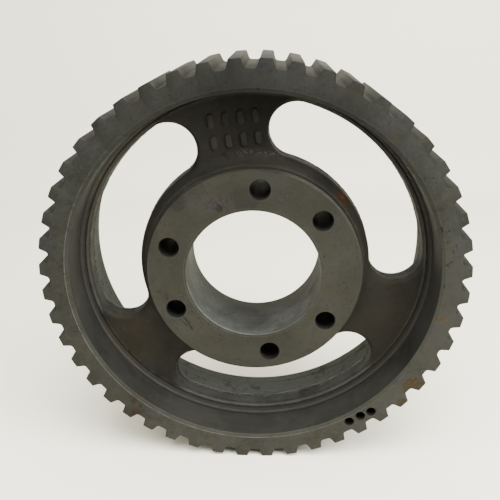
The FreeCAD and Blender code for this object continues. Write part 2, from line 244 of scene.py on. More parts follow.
def place(name, shell, materials, slot, nodes, crease):
    """Makes the piece in the scene, smooth except at edges sharper than crease degrees."""
    data = shell.mesh(name)
    for material in materials:
        data.materials.append(material)
    data.shade_smooth()
    data.set_sharp_from_angle(angle=math.radians(crease))
    piece = bpy.data.objects.new(name, data)
    bpy.context.scene.collection.objects.link(piece)
    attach(piece, "root")
    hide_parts(*nodes)
    return piece


def inset(points, distance):
    """The loop moved inwards by the distance, as seen along Y. The loop runs anticlockwise from the front."""
    moved = []
    for step, point in enumerate(points):
        before, after = points[step - 1], points[(step + 1) % len(points)]
        into, out = (point - before), (after - point)
        into.y = out.y = 0
        normal = Vector((-into.z, 0, into.x)).normalized() + Vector((-out.z, 0, out.x)).normalized()
        normal.normalize()
        facing = normal.dot(Vector((-into.z, 0, into.x)).normalized())
        moved.append(point + normal * (distance / max(facing, 0.5)))
    return moved


# ---------------------------------------------------------------- toothed rim
def arc(centre, radius, start, end, steps):
    return [
        (centre[0] + radius * math.cos(start + (end - start) * step / steps),
         centre[1] + radius * math.sin(start + (end - start) * step / steps))
        for step in range(steps + 1)
    ]


def groove_half():
    """Half of one groove's outline, from the floor's middle to the tooth tip, as (across, up) pairs."""
    slope = math.pi / 2 + GROOVE_FLANK
    setback = GROOVE_CORNER / math.tan(slope / 2)
    root = arc((GROOVE_HALF_FLOOR - setback, ROOT_RADIUS + GROOVE_CORNER), GROOVE_CORNER,
               -math.pi / 2, -GROOVE_FLANK, 5)
    tip_across = GROOVE_HALF_FLOOR + GROOVE_DEPTH * math.tan(GROOVE_FLANK)
    tip_up = math.sqrt(TIP_RADIUS**2 - tip_across**2)
    lean = math.atan2(tip_across, tip_up)
    turn = math.pi / 2 - GROOVE_FLANK + lean
    along = TOOTH_CORNER * math.tan(turn / 2)
    centre = (tip_across + along * math.cos(lean) - TOOTH_CORNER * math.sin(lean),
              tip_up - along * math.sin(lean) - TOOTH_CORNER * math.cos(lean))
    tip = arc(centre, TOOTH_CORNER, math.pi - GROOVE_FLANK, math.pi / 2 - lean, 4)
    return root + tip


def teeth_outline(y):
    """The rim's outside all the way round, anticlockwise from the front."""
    half = groove_half()
    groove = [(-across, up) for across, up in reversed(half)] + half
    land_points = 2
    outline = []
    pitch = 2 * math.pi / GROOVE_COUNT
    edge = math.atan2(*half[-1])
    for number in range(GROOVE_COUNT):
        angle = math.pi / 2 - pitch * number
        for across, up in groove:
            outline.append(polar(math.hypot(across, up), angle - math.atan2(across, up), y))
        for step in range(1, land_points + 1):
            land = angle - edge - (pitch - 2 * edge) * step / (land_points + 1)
            outline.append(polar(TIP_RADIUS, land, y))
    return outline[::-1]


def toothed_rim(face_iron, bore_iron, tooth_iron, hole_iron):
    shell = Shell()
    outline = teeth_outline(0)
    on_faces, in_bore, on_teeth, in_holes = range(4)

    def around(distance, y):
        moved = inset(outline, distance) if distance else outline
        return [Vector((point.x, y, point.z)) for point in moved]

    shell.finish = on_teeth
    front_teeth, back_teeth = shell.sleeve([
        around(EDGE_BREAK, RIM_FRONT),
        around(EDGE_BREAK * 0.3, RIM_FRONT + EDGE_BREAK * 0.3),
        around(0, RIM_FRONT + EDGE_BREAK),
        around(0, RIM_BACK - EDGE_BREAK),
        around(EDGE_BREAK * 0.3, RIM_BACK - EDGE_BREAK * 0.3),
        around(EDGE_BREAK, RIM_BACK),
    ])
    steps = 432
    bevels = []
    shell.finish = on_faces
    for end, inward in ((RIM_FRONT, 1), (RIM_BACK, -1)):
        bevels.append(shell.sleeve([
            circle(BEVEL_RADIUS, end, steps),
            circle(BEVEL_RADIUS - BEVEL_CORNER, end + inward * 0.12, steps),
            circle(RIM_BORE + 0.3, end + inward * (BEVEL_DEPTH - 0.12), steps),
            circle(RIM_BORE, end + inward * (BEVEL_DEPTH + BEVEL_CORNER), steps),
        ]))
    (front_bore, front_lip), (back_bore, back_lip) = bevels
    shell.finish = in_bore
    near, far = shell.sleeve([circle(radius, y, steps) for radius, y in (
        (RIM_BORE, -BORE_RELIEF - 0.5),
        (RIM_BORE + BORE_RELIEF_DEPTH, -BORE_RELIEF),
        (RIM_BORE + BORE_RELIEF_DEPTH, BORE_RELIEF),
        (RIM_BORE, BORE_RELIEF + 0.5),
        (RIM_BORE, BORE_STEP - BORE_STEP_HALF),
        (RIM_BORE + BORE_STEP_DEPTH, BORE_STEP),
        (RIM_BORE, BORE_STEP + BORE_STEP_HALF),
    )])
    shell.strip(front_lip, near)
    shell.strip(far, back_lip)
    shell.finish = in_holes
    mouths = []
    for reach, angle in BALANCE_HOLES:
        middle = polar(reach, math.radians(angle), 0)
        centre = (middle.x, middle.z)
        mouth, bottom = shell.sleeve([
            circle(BALANCE_RADIUS + BALANCE_EDGE_BREAK, RIM_FRONT, 36, centre),
            circle(BALANCE_RADIUS, RIM_FRONT + BALANCE_EDGE_BREAK, 36, centre),
            circle(BALANCE_RADIUS, RIM_FRONT + BALANCE_DEPTH - BALANCE_POINT, 36, centre),
            circle(0.05, RIM_FRONT + BALANCE_DEPTH, 36, centre),
        ])
        shell.face(bottom)
        mouths.append(mouth)
    shell.finish = on_faces
    shell.plate([front_teeth, front_bore, *mouths])
    shell.plate([back_teeth, back_bore])
    materials = [face_iron, bore_iron, tooth_iron, hole_iron]
    return place("rim_casting", shell, materials, "machined_iron", ["toothed_rim"], crease=24)


# ---------------------------------------------------------------- as-cast web
def window_gap(x, z):
    """How far a place is from the nearest window's edge: above zero in the iron, below it in the opening."""
    radius, angle = math.hypot(x, z), math.atan2(z, x)
    nearest = 1e9
    for middle in WINDOW_ANGLES:
        turn = (angle - middle + math.pi) % (2 * math.pi) - math.pi
        if abs(turn) <= WINDOW_HALF_ANGLE:
            gap = abs(radius - WINDOW_MIDDLE)
        else:
            end = middle + math.copysign(WINDOW_HALF_ANGLE, turn)
            gap = math.hypot(x - WINDOW_MIDDLE * math.cos(end), z - WINDOW_MIDDLE * math.sin(end))
        nearest = min(nearest, gap - WINDOW_END)
    return nearest


def window_outline(middle, grow, y):
    """A window's outline, moved out into the iron by grow. It has the same number of points for any grow."""
    arc_steps, end_steps = 110, 36
    points = []
    for step in range(arc_steps):
        turn = -WINDOW_HALF_ANGLE + 2 * WINDOW_HALF_ANGLE * step / arc_steps
        points.append(polar(WINDOW_OUTER + grow, middle + turn, y))
    for end, start in ((middle + WINDOW_HALF_ANGLE, 0), (middle - WINDOW_HALF_ANGLE, math.pi)):
        centre = polar(WINDOW_MIDDLE, end, 0)
        for step in range(end_steps):
            angle = end + start + math.pi * step / end_steps
            points.append(centre + polar(WINDOW_END + grow, angle, y))
        if start == 0:
            for step in range(arc_steps):
                turn = WINDOW_HALF_ANGLE - 2 * WINDOW_HALF_ANGLE * step / arc_steps
                points.append(polar(WINDOW_INNER - grow, middle + turn, y))
    return points


def web_height(x, z):
    """Height of the web's surface above its middle plane, without the unevenness of the casting."""
    radius = math.hypot(x, z)
    height = WEB_HALF
    if radius < COLLAR_FLAT:
        reach = min(COLLAR_FLAT - radius, COLLAR_FILLET)
        height += COLLAR_FILLET - math.sqrt(COLLAR_FILLET**2 - reach**2)
    elif radius > LEDGE_GROOVE_START:
        along = (radius - LEDGE_GROOVE_START) / (LEDGE_GROOVE - LEDGE_GROOVE_START)
        height -= LEDGE_GROOVE_DEPTH * math.sin(min(along, 1) * math.pi / 2)
    gap = max(window_gap(x, z), 0)
    if gap < EDGE_ROUND:
        height -= EDGE_ROUND - math.sqrt(EDGE_ROUND**2 - (EDGE_ROUND - gap)**2)
    return height


def unevenness(point, side):
    """How much the sand-cast surface stands proud or low there."""
    seed = Vector((0, 37.0 * side, 0))
    slow = noise.noise(point / 17 + seed)
    middling = noise.noise(point / 6 + seed * 2)
    return 0.16 * slow + 0.07 * middling


def web_surface_points():
    """Places across one face of the web, close together where it curves, for its triangles."""
    places = []
    fillet_rings = [89.15, 89.5, 90.1, 90.9, 91.9, 93.1, 94.5, 96.0, 97.6, 99.5]
    groove_rings = [LEDGE_GROOVE_START, 141.85, 142.15]
    clear = EDGE_ROUND + 0.9
    for radius in fillet_rings + groove_rings:
        count = round(2 * math.pi * radius / 2.2)
        for point in circle(radius, 0, count):
            least = clear if radius < WINDOW_MIDDLE else LEDGE_GROOVE_START - WINDOW_OUTER - 0.1
            if window_gap(point.x, point.z) > least:
                places.append(point)
    for grow in (0.15, 0.5, 1.0, 1.6, 2.3, 3.0, 3.5):
        for middle in WINDOW_ANGLES:
            for point in window_outline(middle, grow, 0):
                if COLLAR_SHOULDER + 0.5 < point.xz.length < LEDGE_GROOVE_START - 0.3:
                    places.append(point)
    spacing = 2.6
    jitter = random.Random(7)
    rows = int(LEDGE_GROOVE / spacing)
    for column in range(-rows, rows + 1):
        for row in range(-rows, rows + 1):
            x = spacing * (column + 0.5 * (row % 2)) + jitter.uniform(-0.3, 0.3)
            z = spacing * 0.87 * row + jitter.uniform(-0.3, 0.3)
            if COLLAR_FLAT + 1.2 < math.hypot(x, z) < LEDGE_GROOVE_START - 1.2 and window_gap(x, z) > clear:
                places.append(Vector((x, 0, z)))
    return places


def web_casting(skin, wall_skin):
    shell = Shell()
    inner_points = web_surface_points()
    outer_steps, collar_steps = 400, 260

    def lifted(points, side, lift=0.0):
        raised = []
        for point in points:
            height = web_height(point.x, point.z) + lift
            raised.append(Vector((point.x, side * (height + unevenness(point, side)), point.z)))
        return raised

    window_mouths = {}
    bead_centre = BEAD_REACH - BEAD_RADIUS
    bead = [
        (RIM_BORE - BEAD_RADIUS * math.sin(turn), bead_centre + BEAD_RADIUS * math.cos(turn))
        for turn in [math.radians(angle) for angle in range(126, -1, -18)]
    ]
    rims, collars = [], []
    for side in (-1, 1):
        groove = shell.loop(lifted(circle(LEDGE_GROOVE, 0, outer_steps), side))
        climb = [(LEDGE_GROOVE + 0.12, WEB_HALF - 0.4), *bead, (RIM_BORE + 0.5, BEAD_REACH + 0.05)]
        loops = [circle(radius, side * height, outer_steps) for radius, height in climb]
        first, last = shell.sleeve(loops)
        shell.strip(groove, first)
        rims.append(last)
        shoulder = shell.loop(lifted(circle(COLLAR_SHOULDER, 0, collar_steps), side))
        end = COLLAR_BACK if side > 0 else COLLAR_FRONT
        first, last = shell.sleeve([
            circle(COLLAR_SHOULDER, end - side * 0.5, collar_steps),
            circle(COLLAR_SHOULDER - 0.4, end, collar_steps),
            circle(HUB_RADIUS - 0.5, end, collar_steps),
        ])
        shell.strip(shoulder, first)
        collars.append(last)
        mouths = []
        for middle in WINDOW_ANGLES:
            mouths.append(shell.loop(lifted(window_outline(middle, 0, 0), side)))
        window_mouths[side] = mouths
        shell.plate([groove, shoulder, *mouths], lifted(inner_points, side))
    shell.strip(*rims)
    shell.strip(*collars)

    shell.finish = 1
    for number, middle in enumerate(WINDOW_ANGLES):
        walls = []
        for along, grow in PARTING_LINE:
            wall = []
            for point in window_outline(middle, grow, PARTING_DEPTH + along):
                flash = 0.3 * noise.noise(point / 2.2) if abs(along) < 1.5 else 0.0
                inward = 1 + (flash + 0.5 * unevenness(point, 0)) / WINDOW_MIDDLE
                wall.append(Vector((point.x * inward, point.y, point.z * inward)))
            walls.append(wall)
        first, last = shell.sleeve(walls)
        shell.strip(window_mouths[-1][number], first)
        shell.strip(last, window_mouths[1][number])
    nodes = ["web_outer_ring", "web_arm_top", "web_arm_lower_left", "web_arm_lower_right", "web_hub_collar"]
    return place("web_casting", shell, [skin, wall_skin], "cast_iron_skin", nodes, crease=50)


# ---------------------------------------------------------------- hub
def turned_hub(face_iron, bore_iron, hole_iron):
    shell = Shell()
    steps = 288
    on_faces, in_bore, in_holes = range(3)

    def bore_at(y):
        return BORE_FRONT_RADIUS + BORE_TAPER * (y - HUB_FRONT)

    outside_front, outside_back = shell.sleeve([
        *[circle(HUB_RADIUS - inset_by, HUB_FRONT + along, steps) for inset_by, along in HUB_EDGE],
        circle(HUB_RADIUS, COLLAR_FRONT - 0.9, steps),
        circle(HUB_RADIUS - 0.35, COLLAR_FRONT - 0.3, steps),
        circle(HUB_RADIUS - 0.35, COLLAR_BACK + 0.3, steps),
        circle(HUB_RADIUS, COLLAR_BACK + 0.9, steps),
        *[circle(HUB_RADIUS - inset_by, HUB_BACK - along, steps) for inset_by, along in reversed(HUB_EDGE)],
    ])
    bevels = []
    for end, inward in ((HUB_FRONT, 1), (HUB_BACK, -1)):
        bevels.append(shell.sleeve([
            circle(bore_at(end) + 0.6, end, steps),
            circle(bore_at(end) + 0.5, end + inward * 0.08, steps),
            circle(bore_at(end) + 0.06, end + inward * 0.5, steps),
            circle(bore_at(end + inward * 0.7), end + inward * 0.7, steps),
        ]))
    (bore_front, front_lip), (bore_back, back_lip) = bevels
    shell.finish = in_bore
    shell.strip(front_lip, back_lip)
    shell.finish = in_holes
    front_mouths, back_mouths = [], []
    for angle in SCREW_ANGLES:
        middle = polar(SCREW_CIRCLE, math.radians(angle), 0)
        centre = (middle.x, middle.z)
        front, back = shell.sleeve([
            circle(SCREW_RADIUS + SCREW_EDGE_BREAK, HUB_FRONT, 56, centre),
            circle(SCREW_RADIUS, HUB_FRONT + SCREW_EDGE_BREAK, 56, centre),
            circle(SCREW_RADIUS, HUB_BACK - SCREW_EDGE_BREAK, 56, centre),
            circle(SCREW_RADIUS + SCREW_EDGE_BREAK, HUB_BACK, 56, centre),
        ])
        front_mouths.append(front)
        back_mouths.append(back)
    shell.finish = on_faces
    shell.plate([outside_front, bore_front, *front_mouths])
    shell.plate([outside_back, bore_back, *back_mouths])
    materials = [face_iron, bore_iron, hole_iron]
    return place("hub_casting", shell, materials, "machined_iron", ["hub"], crease=24)


# ---------------------------------------------------------------- raised pads on the top arm
def slot_outline(length, radius):
    """A slot with round ends, along the first direction, as (along, across) pairs."""
    reach, steps = length / 2 - PAD_WIDTH / 2, 12
    points = []
    for end, start in ((reach, -math.pi / 2), (-reach, math.pi / 2)):
        for step in range(steps + 1):
            angle = start + math.pi * step / steps
            points.append((end + radius * math.cos(angle), radius * math.sin(angle)))
    return points


def cast_pads(skin):
    shell = Shell()
    angle = math.radians(PAD_ANGLE)
    out = Vector((math.cos(angle), 0, math.sin(angle)))
    across = Vector((-math.sin(angle), 0, math.cos(angle)))
    rise = PAD_TOP - WEB_HALF
    # Each loop of a pad's side, from its foot in the iron to its top, as (growth, height above the web).
    levels = [(0.75, -0.7), (0.5, -0.05), (0.28, 0.12), (0.1, 0.4), (-0.05, rise * 0.72),
              (-0.3, rise * 0.92), (-0.75, rise - 0.02), (-1.5, rise)]
    for reach in PAD_REACHES:
        for column in (-1.5, -0.5, 0.5, 1.5):
            middle = out * reach + across * PAD_SPACING * column
            loops = []
            for grow, height in levels:
                outline = slot_outline(PAD_LENGTH, PAD_WIDTH / 2 + grow)
                loops.append([
                    middle + out * along + across * aside + Vector((0, -WEB_HALF - height, 0))
                    for along, aside in outline
                ])
            foot, top = shell.sleeve(loops)
            shell.face(foot)
            shell.face(top)
    return place("cast_pads", shell, [skin], "cast_iron_skin", ["cast_marks"], crease=60)


# ---------------------------------------------------------------- materials
class Nodes:
    """Short ways to add and link a material's nodes."""

    def __init__(self, name):
        self.material = bpy.data.materials.new(name)
        self.material.use_nodes = True
        self.tree = self.material.node_tree
        self.tree.nodes.clear()
        self.place = self.add("ShaderNodeTexCoord").outputs["Object"]

    def add(self, kind, **settings):
        node = self.tree.nodes.new(kind)
        for key, setting in settings.items():
            setattr(node, key, setting)
        return node

    def link(self, source, target):
        self.tree.links.new(source, target)

    def feed(self, socket, source):
        """Sets a socket from a number, a colour or another node's output."""
        if isinstance(source, bpy.types.NodeSocket):
            self.link(source, socket)
        else:
            socket.default_value = source

    def noise(self, size, detail=4.0, roughness=0.55, place=None, distortion=0.0):
        """A noise with features of about that size, in millimetres."""
        node = self.add("ShaderNodeTexNoise")
        self.link(place or self.place, node.inputs["Vector"])
        node.inputs["Scale"].default_value = 1 / (size * MM)
        node.inputs["Detail"].default_value = detail
        node.inputs["Roughness"].default_value = roughness
        node.inputs["Distortion"].default_value = distortion
        return node.outputs["Fac"]

    def band(self, source, low, high, to_low=0.0, to_high=1.0):
        """Maps low..high of the source smoothly to the two values."""
        node = self.add("ShaderNodeMapRange", interpolation_type="SMOOTHSTEP")
        self.link(source, node.inputs["Value"])
        for name, setting in (("From Min", low), ("From Max", high), ("To Min", to_low), ("To Max", to_high)):
            node.inputs[name].default_value = setting
        return node.outputs["Result"]

    def math(self, operation, first, second=0.0, clamp=False):
        node = self.add("ShaderNodeMath", operation=operation, use_clamp=clamp)
        self.feed(node.inputs[0], first)
        self.feed(node.inputs[1], second)
        return node.outputs[0]

    def vector(self, operation, first, second=None):
        """Vector arithmetic. SCALE takes a number second; DOT_PRODUCT, DISTANCE and LENGTH give a number."""
        node = self.add("ShaderNodeVectorMath", operation=operation)
        self.feed(node.inputs[0], first)
        if second is not None:
            self.feed(node.inputs["Scale" if operation == "SCALE" else 1], second)
        gives_number = operation in ("DOT_PRODUCT", "DISTANCE", "LENGTH")
        return node.outputs["Value" if gives_number else "Vector"]

    def mix(self, amount, first, second):
        """Colour mixed from the first to the second by the amount."""
        node = self.add("ShaderNodeMix", data_type="RGBA")
        self.feed(node.inputs["Factor"], amount)
        self.feed(node.inputs["A"], first)
        self.feed(node.inputs["B"], second)
        return node.outputs["Result"]

    def stretched(self, scale):
        """The place with each direction scaled, for streaks."""
        node = self.add("ShaderNodeMapping")
        self.link(self.place, node.inputs["Vector"])
        node.inputs["Scale"].default_value = scale
        return node.outputs["Vector"]

    def parts(self):
        """The place's X, Y and Z, in metres."""
        node = self.add("ShaderNodeSeparateXYZ")
        self.link(self.place, node.inputs[0])
        return node.outputs

    def reach(self):
        """Distance from the pulley's axis, in metres."""
        parts = self.parts()
        squares = [self.math("POWER", parts[axis], 2.0) for axis in "XZ"]
        return self.math("SQRT", self.math("ADD", *squares))

    def depth(self):
        """How far back a place is from the pulley's middle plane, in metres."""
        return self.parts()["Y"]

    def ring(self, radius, width):
        """1 on a circle round the axis, fading to 0 at half the width on either side, in millimetres."""
        off = self.math("ABSOLUTE", self.math("SUBTRACT", self.reach(), radius * MM))
        return self.band(off, width * MM / 2, 0.0)

    def scratch(self, start, end, width):
        """1 along a line between two places, in millimetres."""
        start, along = Vector(start) * MM, (Vector(end) - Vector(start)) * MM
        from_start = self.vector("SUBTRACT", self.place, start)
        part = self.vector("DOT_PRODUCT", from_start, along / along.length_squared)
        part = self.math("ADD", part, 0.0, clamp=True)
        across = self.vector("SUBTRACT", from_start, self.vector("SCALE", along, part))
        return self.band(self.vector("LENGTH", across), width * MM, width * MM * 0.3)

    def spot(self, centre, radius, ragged=0.6):
        """A ragged patch round a place, both in millimetres: 1 inside, fading to 0."""
        gap = self.math("DIVIDE", self.vector("DISTANCE", self.place, Vector(centre) * MM), radius * MM)
        wobble = self.math("MULTIPLY", self.noise(radius * 0.55, 5, 0.65), 2 * ragged)
        return self.band(self.math("ADD", gap, self.math("SUBTRACT", wobble, ragged)), 1.1, 0.55)

    # Used to lighten edges, partly as wear and partly as painted highlight.
    def edge_wear_and_highlight(self, width, strength=1.0):
        """1 along convex edges, fading within the width in millimetres."""
        rounded = self.add("ShaderNodeBevel", samples=6)
        rounded.inputs["Radius"].default_value = width * MM
        true = self.add("ShaderNodeNewGeometry").outputs["Normal"]
        alike = self.vector("DOT_PRODUCT", rounded.outputs["Normal"], true)
        return self.band(alike, 0.995, 0.86, 0.0, strength)

    def bumps(self, layers):
        """Stacks bump layers, each (height, distance in millimetres)."""
        normal = None
        for height, distance in layers:
            node = self.add("ShaderNodeBump")
            node.inputs["Distance"].default_value = distance * MM
            node.inputs["Strength"].default_value = 1.0
            self.link(height, node.inputs["Height"])
            if normal:
                self.link(normal, node.inputs["Normal"])
            normal = node.outputs["Normal"]
        return normal

    def surface(self, colour, roughness, metallic, normal, specular=0.5):
        shader = self.add("ShaderNodeBsdfPrincipled")
        self.feed(shader.inputs["Base Color"], colour)
        self.feed(shader.inputs["Roughness"], roughness)
        self.feed(shader.inputs["Metallic"], metallic)
        shader.inputs["Specular IOR Level"].default_value = specular
        if normal:
            self.link(normal, shader.inputs["Normal"])
        output = self.add("ShaderNodeOutputMaterial")
        self.link(shader.outputs["BSDF"], output.inputs["Surface"])
        return self.material


RUST = (0.0324, 0.0130, 0.0062, 1)
FRESH_RUST = (0.0800, 0.0280, 0.0090, 1)
BROWN = (0.0410, 0.0265, 0.0112, 1)
OCHRE = (0.0540, 0.0318, 0.0105, 1)
OLIVE = (0.0330, 0.0300, 0.0160, 1)
DARK_OLIVE = (0.0062, 0.0062, 0.0042, 1)
# Near black: the colour of pits and scratches, also used for painted shade.
SOOT_AND_SHADE = (0.0045, 0.0042, 0.0038, 1)
# Pale worn iron, also used for a painted highlight in the hub's bore.
WEAR_AND_SHEEN = (0.0396, 0.0342, 0.0322, 1)
# Painted shade in the hub's bore.
PAINTED_BORE_SHADE = (0.0085, 0.0092, 0.0088, 1)
# Painted shade on the hub's outer side.
HUB_SIDE_SHADE = (0.0112, 0.0108, 0.0080, 1)
# Darker, browner tone for the floors of the teeth's grooves.
GROOVE_FLOOR_TONE = (0.0058, 0.0050, 0.0038, 1)
FLASH = (0.0560, 0.0565, 0.0520, 1)
SKIN_BROWN = (0.0310, 0.0232, 0.0150, 1)
LEDGE_TONE = (0.0450, 0.0428, 0.0360, 1)
BEAD_TONE = (0.0180, 0.0178, 0.0150, 1)
# Painted shade on the collar's fillet, in the corner against the hub.
COLLAR_FILLET_SHADE = (0.0120, 0.0102, 0.0076, 1)

# Marks, as (middle, radius, colour, strength), and scratches, as (start, end, width), in millimetres.
BROAD_MARK = 30.0
RIM_MARKS = (
    ((132.0, RIM_FRONT, -90.5), 8.5, BROWN, 0.9), ((127.0, RIM_FRONT, -96.0), 6.0, BROWN, 0.55),
    ((123.5, RIM_FRONT, -108.5), 4.0, BROWN, 0.75),
    ((149.0, RIM_FRONT, -29.6), 5.5, OCHRE, 0.9),
    ((55.4, RIM_FRONT, -153.0), 4.0, BROWN, 0.35), ((148.8, RIM_FRONT, -64.4), 6.0, BROWN, 0.25),
    ((-103.0, RIM_FRONT, -111.0), 3.2, RUST, 0.7), ((-98.0, RIM_FRONT, -117.0), 2.0, RUST, 0.6),
    ((-102.5, RIM_FRONT, -124.5), 5.5, RUST, 0.8), ((-148.5, RIM_FRONT, 19.2), 2.2, RUST, 0.45),
    ((-134.6, RIM_FRONT, 60.9), 2.2, RUST, 0.5), ((-16.9, RIM_FRONT, 151.7), 1.0, SOOT_AND_SHADE, 0.7),
    # The broad dark marks over the top of the face and at its lower left are painted shade, and the broad
    # pale mark at the right, the last here, is painted light.
    ((5.1, RIM_FRONT, 147.6), 1.1, SOOT_AND_SHADE, 0.7), ((-48.0, RIM_FRONT, 150.0), 75.0, SOOT_AND_SHADE, 0.3),
    ((32.0, RIM_FRONT, 152.0), 80.0, SOOT_AND_SHADE, 0.34), ((-112.0, RIM_FRONT, -106.0), 42.0, SOOT_AND_SHADE, 0.2),
    ((158.0, RIM_FRONT, -18.0), 62.0, (0.0370, 0.0358, 0.0305, 1), 0.45),
)
RIM_SCRATCHES = (
    ((140.2, RIM_FRONT, 46.8), (141.6, RIM_FRONT, 43.8), 1.0),
    ((146.0, RIM_FRONT, 44.6), (148.0, RIM_FRONT, 43.4), 0.9),
    ((146.0, RIM_FRONT, 35.2), (148.6, RIM_FRONT, 36.2), 0.9),
    ((152.6, RIM_FRONT, 33.4), (154.0, RIM_FRONT, 29.8), 0.8),
    ((147.0, RIM_FRONT, 15.6), (151.6, RIM_FRONT, 19.8), 1.0),
    ((148.4, RIM_FRONT, 16.6), (149.6, RIM_FRONT, 14.4), 0.8),
    ((151.0, RIM_FRONT, 28.6), (151.8, RIM_FRONT, 26.2), 0.8),
    ((147.6, RIM_FRONT, -0.6), (148.2, RIM_FRONT, -2.6), 0.8),
)
HUB_MARKS = (
    ((-33.0, HUB_FRONT, 61.0), 8.0, WEAR_AND_SHEEN, 0.5), ((-22.0, HUB_FRONT, 60.0), 8.0, WEAR_AND_SHEEN, 0.5),
    ((22.4, HUB_FRONT, 63.0), 9.0, WEAR_AND_SHEEN, 0.35), ((-58.0, HUB_FRONT, 60.0), 8.0, SOOT_AND_SHADE, 0.3),
    ((-26.0, HUB_FRONT, 56.5), 3.5, SOOT_AND_SHADE, 0.35), ((-6.0, HUB_FRONT, 64.0), 12.0, SOOT_AND_SHADE, 0.16),
    # The broad dark mark over the lower part of the face is painted shade.
    ((6.0, HUB_FRONT, -86.0), 58.0, SOOT_AND_SHADE, 0.18),
)
# A broad pale mark on the bore's right side: painted light.
RIM_BORE_PAINTED_LIGHT = (((146.0, -30.0, -14.0), 52.0, (0.0300, 0.0296, 0.0265, 1), 0.5),)
# All painted light and shade on the bore: the dark marks at its bottom and right side are painted shade, the
# pale one on its left is painted light, and the three up its lower right are painted highlights.
HUB_BORE_LIGHT_AND_SHADE = (
    ((-12.0, 2.0, -55.0), 27.0, PAINTED_BORE_SHADE, 0.5), ((58.0, 16.0, 2.0), 38.0, PAINTED_BORE_SHADE, 0.8),
    ((-55.0, 4.0, -6.0), 26.0, (0.0620, 0.0660, 0.0570, 1), 0.45),
    ((30.0, -8.0, -46.0), 13.0, (0.055, 0.058, 0.053, 1), 0.5),
    ((44.0, -12.0, -33.0), 9.0, (0.065, 0.066, 0.060, 1), 0.5), ((51.0, -16.0, -20.0), 8.0, WEAR_AND_SHEEN, 0.4),
)
HUB_SCRATCHES = (
    ((-78.7, HUB_FRONT, -14.5), (-67.6, HUB_FRONT, -26.3), 0.9),
    ((-76.5, HUB_FRONT, -14.0), (-70.0, HUB_FRONT, -21.0), 0.6),
    ((-59.0, HUB_FRONT, -38.5), (-53.5, HUB_FRONT, -43.5), 0.9),
    ((-60.5, HUB_FRONT, -35.5), (-51.4, HUB_FRONT, -50.6), 1.1),
    ((-62.0, HUB_FRONT, -39.0), (-55.4, HUB_FRONT, -48.0), 0.8),
)
GRAZE = (8.0, -12.5, 95.5)
GRAZE_RADIUS = 96.3
WEB_MARKS = (
    ((64.0, -12.0, 66.0), 22.0, SOOT_AND_SHADE, 0.45), ((70.8, -12.0, 60.0), 12.0, BROWN, 0.3),
    ((69.8, -12.0, 61.0), 5.5, RUST, 0.95), ((73.5, -12.0, 55.5), 4.0, RUST, 0.5),
    ((69.8, -12.0, 61.5), 2.6, FRESH_RUST, 0.7),
    ((-23.2, -11.0, 94.4), 2.3, DARK_OLIVE, 0.7), ((-20.0, -11.5, 92.6), 2.2, SOOT_AND_SHADE, 0.6),
    ((-24.0, -WEB_HALF, 97.0), 9.0, OLIVE, 0.35),
    ((127.0, -WEB_HALF, -31.0), 14.0, BROWN, 0.12),
    ((-110.0, -WEB_HALF, -72.0), 30.0, BROWN, 0.16),
    # The pale mark by the bead at the right is painted light.
    ((138.0, -WEB_HALF, -42.0), 34.0, (0.0300, 0.0275, 0.0218, 1), 0.25),
    ((110.0, -WEB_HALF, -66.0), 40.0, (0.0226, 0.0188, 0.0126, 1), 0.35),
    # The next two pale marks, high on the top arm and at the upper left by the bead, are painted light.
    ((-42.0, -WEB_HALF, 120.0), 31.0, (0.0330, 0.0312, 0.0236, 1), 0.4),
    ((-112.0, -WEB_HALF, 90.0), 46.0, (0.0520, 0.0450, 0.0330, 1), 0.5),
)
# Dark spots where the windows' walls lie in shade: painted shade.
WALL_SHADE_MARKS = (
    ((-71.0, 0.0, -112.0), 15.0, SOOT_AND_SHADE, 0.65), ((48.0, 0.0, -128.0), 13.0, SOOT_AND_SHADE, 0.5),
    ((-118.0, 0.0, -47.0), 18.0, SOOT_AND_SHADE, 0.5),
)


def shade(colour, factor):
    return [part * factor for part in colour[:3]] + [1]


def with_marks(n, colour, marks):
    """The colour under the marks. Broad marks are even, and the others are speckled."""
    speckle = n.band(n.noise(2.6, 4, 0.7), 0.36, 0.62)
    for middle, radius, tint, strength in marks:
        varied = n.mix(speckle, shade(tint, 0.4), tint) if radius < BROAD_MARK else tint
        colour = n.mix(n.math("MULTIPLY", n.spot(middle, radius), strength), colour, varied)
    return colour


def pitting(n, amount):
    """Small dark pits, gathered in some places and missing in others."""
    pits = n.band(n.noise(1.9, 3, 0.6, distortion=0.6), 0.6, 0.7)
    gathered = n.band(n.noise(18, 4, 0.65), 0.42, 0.6)
    return n.math("MULTIPLY", n.math("MULTIPLY", pits, gathered), amount)


